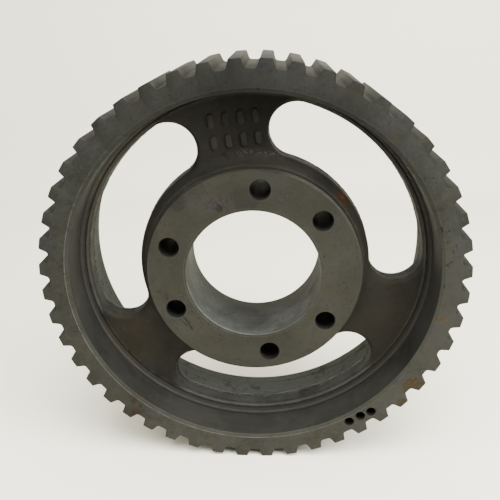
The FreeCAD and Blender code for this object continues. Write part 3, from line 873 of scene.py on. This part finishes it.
def turned_face(name, light, dark, mottled, bevels, marks, scratches, shaded_from=None):
    """Turned iron faces: mottled olive gray with fine rings, pits, edges lightened by wear and painted
    highlight, painted highlights on the bevels, marks and scratches.

    The bevels are (radius, width, colour, strength) in millimetres: painted highlights, made to show most at
    the lower left.
    Past the radius given last, in millimetres, the left half is darkened with painted shade.
    """
    n = Nodes(name)
    colour = n.mix(n.band(n.noise(46, 4, 0.6), 0.35, 0.68), dark, light)
    cool = (light[0] * 0.94, light[1] * 0.93, light[2] * 1.14, 1)
    warm = (light[0] * 1.02, light[1] * 0.93, light[2] * 0.72, 1)
    colour = n.mix(n.band(n.noise(24, 5, 0.65), 0.48, 0.66, 0.0, 0.6 * mottled), colour, cool)
    colour = n.mix(n.band(n.noise(15, 5, 0.7, distortion=0.4), 0.5, 0.66, 0.0, 0.6 * mottled), colour, warm)
    colour = n.mix(n.band(n.noise(6, 5, 0.72), 0.5, 0.7, 0.0, 0.5 * mottled), colour, shade(dark, 0.6))
    colour = n.mix(n.band(n.noise(2.4, 4, 0.72), 0.5, 0.68, 0.0, 0.4 * mottled), colour, shade(light, 1.4))
    lines = n.add("ShaderNodeTexNoise", noise_dimensions="1D")
    n.link(n.reach(), lines.inputs["W"])
    lines.inputs["Scale"].default_value = 1 / (0.55 * MM)
    lines.inputs["Detail"].default_value = 3.0
    turned = lines.outputs["Fac"]
    colour = n.mix(n.band(turned, 0.45, 0.75, 0.0, 0.14), colour, shade(light, 1.35))
    # Painted light: the bevel highlights are made stronger towards the lower left.
    lit_low_left = n.band(n.vector("DOT_PRODUCT", n.place, (-0.75, 0, -0.66)), -0.02, 0.13, 0.25, 1.0)
    for radius, width, tint, strength in bevels:
        patchy = n.math("MULTIPLY", lit_low_left, n.band(n.noise(9, 5, 0.7), 0.38, 0.6, 0.3 * strength, strength))
        colour = n.mix(n.math("MULTIPLY", n.ring(radius, width), patchy), colour, tint)
    pits = pitting(n, 0.8)
    colour = n.mix(pits, colour, SOOT_AND_SHADE)
    # Edges lightened: partly wear, partly painted highlight.
    colour = n.mix(n.edge_wear_and_highlight(0.7, 0.55), colour, shade(light, 2.2))
    # Painted shade on the hub's outer side and edge, over its left half.
    if shaded_from:
        left_half = n.band(n.vector("DOT_PRODUCT", n.place, (1, 0, 0)), 42 * MM, 14 * MM, 0.0, 0.9)
        past_face = n.band(n.reach(), (shaded_from - 0.3) * MM, (shaded_from + 0.2) * MM)
        colour = n.mix(n.math("MULTIPLY", left_half, past_face), colour, HUB_SIDE_SHADE)
    colour = with_marks(n, colour, marks)
    for start, end, width in scratches:
        broken = n.band(n.noise(3.0, 3, 0.6), 0.4, 0.6, 0.2, 0.7)
        colour = n.mix(n.math("MULTIPLY", n.scratch(start, end, width), broken), colour, SOOT_AND_SHADE)
    roughness = n.band(n.noise(12, 5, 0.6), 0.3, 0.7, 0.52, 0.68)
    normal = n.bumps([(turned, 0.03), (n.noise(0.9, 3, 0.6), 0.04), (n.math("SUBTRACT", 1.0, pits), 0.12)])
    return n.surface(colour, roughness, 0.12, normal, specular=0.08)


def bored_wall(name, light, dark, rear, roughness, marks):
    """Smooth bored iron: patchy, with fine lines round it, a painted highlight on its edge, and a rear half
    in a colour that paints light in the rim's bore and shade in the hub's.
    """
    n = Nodes(name)
    colour = n.mix(n.band(n.noise(40, 4, 0.6), 0.38, 0.62), dark, light)
    # Painted light and shade: the rear half is paler in the rim's bore and darker in the hub's.
    colour = n.mix(n.band(n.depth(), 0.0, 22 * MM, 0.0, 0.9), colour, rear)
    colour = n.mix(n.band(n.noise(7, 5, 0.7), 0.5, 0.72, 0.0, 0.4), colour, shade(light, 1.3))
    lines = n.noise(2.2, 4, 0.6, n.stretched((0.05, 1, 0.05)))
    colour = n.mix(n.band(lines, 0.4, 0.7, 0.0, 0.22), colour, shade(light, 1.4))
    colour = n.mix(n.band(n.noise(14, 5, 0.65), 0.54, 0.7, 0.0, 0.45), colour, shade(dark, 0.6))
    pale_patches = n.band(n.noise(10, 5, 0.7, distortion=0.5), 0.56, 0.7, 0.0, 0.4)
    colour = n.mix(pale_patches, colour, shade(light, 1.7))
    pits = pitting(n, 0.6)
    colour = n.mix(pits, colour, SOOT_AND_SHADE)
    colour = with_marks(n, colour, marks)
    # Painted highlight along the bore's edge, broken up.
    edge_highlight = n.math("MULTIPLY", n.edge_wear_and_highlight(0.4), n.band(n.noise(10, 4, 0.65), 0.4, 0.6, 0.25, 0.95))
    colour = n.mix(edge_highlight, colour, shade(light, 6.0))
    normal = n.bumps([(lines, 0.03), (n.math("SUBTRACT", 1.0, pits), 0.08)])
    return n.surface(colour, roughness, 0.0, normal, specular=0.02)


def milled_teeth(name, light, dark):
    """Teeth: bare on the tips and flanks, and darker and browner on the floors of the grooves."""
    n = Nodes(name)
    colour = n.mix(n.band(n.noise(17, 5, 0.65), 0.35, 0.68), dark, light)
    colour = n.mix(n.band(n.noise(4, 5, 0.72), 0.46, 0.64, 0.0, 0.65), colour, shade(dark, 0.55))
    low = n.band(n.reach(), (ROOT_RADIUS + 5.0) * MM, ROOT_RADIUS * MM)
    floor_darkening = n.math("MULTIPLY", low, n.band(n.noise(5, 5, 0.7), 0.3, 0.6, 0.5, 1.0))
    colour = n.mix(floor_darkening, colour, GROOVE_FLOOR_TONE)
    pits = pitting(n, 0.7)
    colour = n.mix(pits, colour, SOOT_AND_SHADE)
    # Tooth edges lightened: partly wear, partly painted highlight.
    colour = n.mix(n.edge_wear_and_highlight(0.8, 0.65), colour, shade(light, 1.9))
    normal = n.bumps([(n.noise(1.6, 4, 0.65), 0.06), (n.math("SUBTRACT", 1.0, pits), 0.12)])
    return n.surface(colour, 0.65, 0.12, normal, specular=0.055)


def drilled_hole(name, colour, front, back):
    """Drilled iron: paler at the mouth, darkened deeper in with painted shade, and lit again near the far end
    with painted light.

    Front and back say where the mouth and the far end are along the axis, in millimetres.
    """
    n = Nodes(name)
    lines = n.noise(1.6, 2, 0.5, n.stretched((0.1, 1, 0.1)))
    tone = n.mix(n.band(lines, 0.4, 0.7), shade(colour, 0.6), colour)
    # Painted shade deeper inside the hole.
    deep_shade = n.band(n.depth(), front * MM, (front + 11) * MM)
    tone = n.mix(deep_shade, tone, shade(colour, 0.16))
    # Painted light near the far end of the hole.
    tone = n.mix(n.band(n.depth(), (back - 18) * MM, (back - 4) * MM), tone, shade(colour, 3.0))
    return n.surface(tone, 0.7, 0.0, n.bumps([(lines, 0.08)]), specular=0.03)


def cast_skin(name, light, dark, web_face, marks):
    """Sand-cast skin: grainy and patchy, with a ragged light line where the mould parted.

    A broken line of painted shade runs where a window's wall rounds over to the front. The web's faces also
    have a ledge and bead in tones of their own, painted shade on the collar's fillet and, stronger low down,
    in the groove beside the bead and where the bead meets the rim's bore, and a grazed band.
    """
    n = Nodes(name)
    colour = n.mix(n.band(n.noise(34, 5, 0.62), 0.34, 0.66), dark, light)
    wander = n.math("MULTIPLY", n.math("SUBTRACT", n.noise(9, 5, 0.75), 0.5), 6 * MM)
    off_line = n.math("ABSOLUTE", n.math("ADD", n.math("SUBTRACT", n.depth(), PARTING_DEPTH * MM), wander))
    ragged = n.math("MULTIPLY", n.band(off_line, 3.0 * MM, 0.8 * MM), n.band(n.noise(1.6, 3, 0.6), 0.4, 0.52))
    colour = n.mix(n.math("MULTIPLY", ragged, 0.8), colour, FLASH)
    torn = n.math("MULTIPLY", n.band(off_line, 3.6 * MM, 1.2 * MM), n.band(n.noise(1.3, 3, 0.6), 0.52, 0.6))
    colour = n.mix(n.math("MULTIPLY", torn, 0.7), colour, SOOT_AND_SHADE)
    # Painted shade: a broken dark line where a window's wall rounds over to the front.
    off_edge = n.math("ABSOLUTE", n.math("ADD", n.depth(), (WEB_HALF - EDGE_ROUND + 0.6) * MM))
    broken = n.band(n.noise(5, 4, 0.65), 0.4, 0.6)
    edge_shade_line = n.math("MULTIPLY", n.band(off_edge, 1.3 * MM, 0.3 * MM), broken)
    colour = n.mix(n.math("MULTIPLY", edge_shade_line, 0.65), colour, SOOT_AND_SHADE)
    brown = n.band(n.noise(19, 5, 0.65), 0.5, 0.74, 0.0, 0.4 if web_face else 0.1)
    colour = n.mix(brown, colour, SKIN_BROWN)
    if web_face:
        ledge = n.band(n.reach(), (WINDOW_OUTER + 0.2) * MM, (WINDOW_OUTER + 1.4) * MM)
        ledge = n.math("MULTIPLY", ledge, n.band(n.noise(11, 4, 0.6), 0.25, 0.6, 0.3, 0.85))
        colour = n.mix(ledge, colour, LEDGE_TONE)
        bead = n.band(n.reach(), (LEDGE_GROOVE - 0.6) * MM, (LEDGE_GROOVE + 0.6) * MM, 0.0, 0.8)
        colour = n.mix(bead, colour, BEAD_TONE)
        # Painted shade on the collar's fillet, in the corner against the hub.
        collar = n.band(n.reach(), (COLLAR_FLAT + 3.0) * MM, (COLLAR_FLAT - 5.0) * MM, 0.0, 0.35)
        colour = n.mix(collar, colour, COLLAR_FILLET_SHADE)
        # Painted shade in the groove beside the bead and where the bead meets the rim's bore, stronger low
        # down.
        crease_shade = n.band(n.vector("DOT_PRODUCT", n.place, (0, 0, 1)), 30 * MM, -50 * MM, 0.12, 0.65)
        for radius in (LEDGE_GROOVE, RIM_BORE):
            colour = n.mix(n.math("MULTIPLY", n.ring(radius, 1.8), crease_shade), colour, SOOT_AND_SHADE)
        grains = n.band(n.noise(1.3, 3, 0.6), 0.5, 0.62, 0.0, 0.5)
        grazed = n.math("MULTIPLY", n.spot(GRAZE, 24.0, 0.5), n.ring(GRAZE_RADIUS, 9.0))
        colour = n.mix(n.math("MULTIPLY", grazed, grains), colour, shade(WEAR_AND_SHEEN, 2.2))
    sand = n.noise(1.5, 4, 0.7)
    colour = n.mix(n.band(sand, 0.56, 0.72, 0.0, 0.4), colour, shade(light, 2.1))
    pits = n.band(n.noise(2.6, 3, 0.6), 0.64, 0.74)
    colour = n.mix(n.math("MULTIPLY", pits, 0.6), colour, SOOT_AND_SHADE)
    # Edges and rounds lightened: partly wear, partly painted highlight.
    colour = n.mix(n.edge_wear_and_highlight(1.0, 0.15), colour, shade(light, 2.8))
    colour = with_marks(n, colour, marks)
    roughness = n.band(n.noise(9, 4, 0.6), 0.3, 0.7, 0.62, 0.8)
    normal = n.bumps([(n.noise(5, 4, 0.6), 0.25), (sand, 0.16), (n.math("SUBTRACT", 1.0, pits), 0.18)])
    return n.surface(colour, roughness, 0.0, normal, specular=0.12)


def plain_paint(name, colour, roughness):
    n = Nodes(name)
    tone = n.mix(n.band(n.noise(420, 2), 0.3, 0.7), shade(colour, 0.985), colour)
    return n.surface(tone, roughness, 0.0, None, specular=0.3)


# ---------------------------------------------------------------- the pulley
RIM_LIGHT, RIM_DARK = (0.0292, 0.0289, 0.0232, 1), (0.0203, 0.0201, 0.0163, 1)
HUB_LIGHT, HUB_DARK = (0.0326, 0.0317, 0.0241, 1), (0.0252, 0.0245, 0.0188, 1)
TOOTH_LIGHT, TOOTH_DARK = (0.0245, 0.0240, 0.0205, 1), (0.0166, 0.0164, 0.0142, 1)
RIM_BORE_LIGHT, RIM_BORE_DARK = (0.0164, 0.0160, 0.0138, 1), (0.0127, 0.0124, 0.0107, 1)
# Painted light on the rim's bore towards its back.
RIM_BORE_REAR_LIT = (0.0600, 0.0655, 0.0600, 1)
HUB_BORE_LIGHT, HUB_BORE_DARK = (0.0365, 0.0382, 0.0345, 1), (0.0215, 0.0226, 0.0208, 1)
# Painted shade deep in the hub's bore, towards its back.
HUB_BORE_REAR_SHADED = (0.0215, 0.0226, 0.0205, 1)
SCREW_HOLE, BALANCE_HOLE = (0.0120, 0.0118, 0.0110, 1), (0.0160, 0.0128, 0.0090, 1)
WEB_LIGHT, WEB_DARK = (0.0218, 0.0205, 0.0158, 1), (0.0153, 0.0143, 0.0110, 1)
WALL_LIGHT, WALL_DARK = (0.0209, 0.0217, 0.0200, 1), (0.0150, 0.0161, 0.0144, 1)
PAD_LIGHT, PAD_DARK = (0.0337, 0.0305, 0.0241, 1), (0.0190, 0.0175, 0.0137, 1)
# Painted highlights on the bevels at the rim's bore and at the hub's bore, front and back.
RIM_BEVEL_HIGHLIGHTS = (((BEVEL_RADIUS + RIM_BORE) / 2, 3.6, (0.0350, 0.0345, 0.0290, 1), 0.5),
              (BEVEL_RADIUS, 1.0, (0.1000, 0.0960, 0.0880, 1), 0.9))
HUB_BEVEL_HIGHLIGHTS = ((BORE_FRONT_RADIUS + 0.25, 0.8, (0.1400, 0.1400, 0.1300, 1), 1.0),
              (BORE_BACK_RADIUS + 0.3, 1.4, (0.0900, 0.0880, 0.0800, 1), 0.6))

rim_iron = turned_face("turned_face_rim", RIM_LIGHT, RIM_DARK, 1.0, RIM_BEVEL_HIGHLIGHTS, RIM_MARKS, RIM_SCRATCHES)
hub_iron = turned_face("turned_face_hub", HUB_LIGHT, HUB_DARK, 0.65, HUB_BEVEL_HIGHLIGHTS, HUB_MARKS,
                       HUB_SCRATCHES, HUB_RADIUS - 1.1)
rim_bore_iron = bored_wall("bored_wall_rim", RIM_BORE_LIGHT, RIM_BORE_DARK, RIM_BORE_REAR_LIT, 0.55,
                           RIM_BORE_PAINTED_LIGHT)
hub_bore_iron = bored_wall("bored_wall_hub", HUB_BORE_LIGHT, HUB_BORE_DARK, HUB_BORE_REAR_SHADED, 0.6,
                           HUB_BORE_LIGHT_AND_SHADE)
tooth_iron = milled_teeth("milled_teeth", TOOTH_LIGHT, TOOTH_DARK)
screw_hole_iron = drilled_hole("drilled_hole_hub", SCREW_HOLE, HUB_FRONT, HUB_BACK)
balance_hole_iron = drilled_hole("drilled_hole_rim", BALANCE_HOLE, RIM_FRONT, RIM_BACK)
web_iron = cast_skin("cast_iron_skin", WEB_LIGHT, WEB_DARK, True, WEB_MARKS)
wall_iron = cast_skin("cast_iron_walls", WALL_LIGHT, WALL_DARK, False, WALL_SHADE_MARKS)
pad_iron = cast_skin("cast_iron_pads", PAD_LIGHT, PAD_DARK, False, ())
toothed_rim(rim_iron, rim_bore_iron, tooth_iron, balance_hole_iron)
web_casting(web_iron, wall_iron)
turned_hub(hub_iron, hub_bore_iron, screw_hole_iron)
cast_pads(pad_iron)

# ---------------------------------------------------------------- floor, backdrop, light and camera
# Places and distances below are in metres.
FLOOR = cad_box[0].z
WALL_DISTANCE = 0.80
SOFT_WHITE = (0.975, 1.0, 0.98)


def pale_strip(name, profile, material):
    """A wide strip whose outline, seen from the side, goes through the (y, z) points, in metres."""
    half_width = 3.0
    data = bpy.data.meshes.new(name)
    points = [(side * half_width, y, z) for y, z in profile for side in (-1, 1)]
    faces = [(2 * row, 2 * row + 1, 2 * row + 3, 2 * row + 2) for row in range(len(profile) - 1)]
    data.from_pydata(points, [], faces)
    data.shade_smooth()
    data.materials.append(material)
    strip = bpy.data.objects.new(name, data)
    bpy.context.scene.collection.objects.link(strip)
    return strip


def sweep_backdrop():
    """A pale table that curves up into a wall. The table's front throws no light on the pulley."""
    curve, steps, wall_top, front, split = 0.10, 12, 2.6, -2.6, -0.26
    wall_foot = WALL_DISTANCE - curve
    paint = plain_paint("pale_backdrop", (0.88, 0.832, 0.705, 1), 0.6)
    profile = [(split, FLOOR), (wall_foot, FLOOR)]
    for step in range(1, steps + 1):
        turn = math.pi / 2 * step / steps
        profile.append((wall_foot + curve * math.sin(turn), FLOOR + curve - curve * math.cos(turn)))
    profile.append((WALL_DISTANCE, wall_top))
    pale_strip("backdrop", profile, paint)
    near_table = pale_strip("table_front", [(front, FLOOR), (split, FLOOR)], paint)
    near_table.visible_diffuse = False
    near_table.visible_glossy = False


def soft_light(name, size, power, place, target):
    lamp = bpy.data.lights.new(name, "AREA")
    lamp.shape = "RECTANGLE"
    lamp.size, lamp.size_y = size
    lamp.energy = power
    lamp.color = SOFT_WHITE
    holder = bpy.data.objects.new(name, lamp)
    holder.location = place
    holder.rotation_euler = (Vector(target) - Vector(place)).to_track_quat("-Z", "Y").to_euler()
    bpy.context.scene.collection.objects.link(holder)


def studio():
    world = bpy.data.worlds.new("studio")
    world.use_nodes = True
    world.node_tree.nodes["Background"].inputs["Color"].default_value = (*SOFT_WHITE, 1)
    world.node_tree.nodes["Background"].inputs["Strength"].default_value = 0.50
    bpy.context.scene.world = world
    soft_light("above", (1.2, 0.8), 31, (0.1, -0.3, 1.35), (0, 0, 0))
    soft_light("front_top", (1.2, 0.8), 38, (0.1, -0.65, 1.25), (0, 0, 0))
    soft_light("right_side", (0.9, 0.9), 44, (1.1, -0.6, 0.7), (0, 0, 0))
    soft_light("left_side", (0.9, 0.9), 10, (-1.1, -0.6, 1.0), (0, 0, 0))


def photo_camera():
    """The camera: its azimuth, elevation, roll and distance from a target on the rim's front plane."""
    azimuth, elevation, roll = math.radians(2.63), math.radians(21.893), math.radians(-0.726)
    target = Vector((-1.83, RIM_FRONT, 28.31)) * MM
    distance = 451.33 * MM
    back = Vector((math.sin(azimuth) * math.cos(elevation), -math.cos(azimuth) * math.cos(elevation),
                   math.sin(elevation)))
    right = (-back).cross(Vector((0, 0, 1))).normalized()
    up = right.cross(-back)
    turned_right = right * math.cos(roll) + up * math.sin(roll)
    turned_up = up * math.cos(roll) - right * math.sin(roll)
    lens = bpy.data.cameras.new("camera")
    lens.sensor_width = 36.0
    lens.lens = 42.6
    lens.clip_start = 0.01
    camera = bpy.data.objects.new("camera", lens)
    axes = Matrix((turned_right, turned_up, back)).transposed().to_4x4()
    camera.matrix_world = Matrix.Translation(target + back * distance) @ axes
    bpy.context.scene.collection.objects.link(camera)
    bpy.context.scene.camera = camera


sweep_backdrop()
studio()
photo_camera()
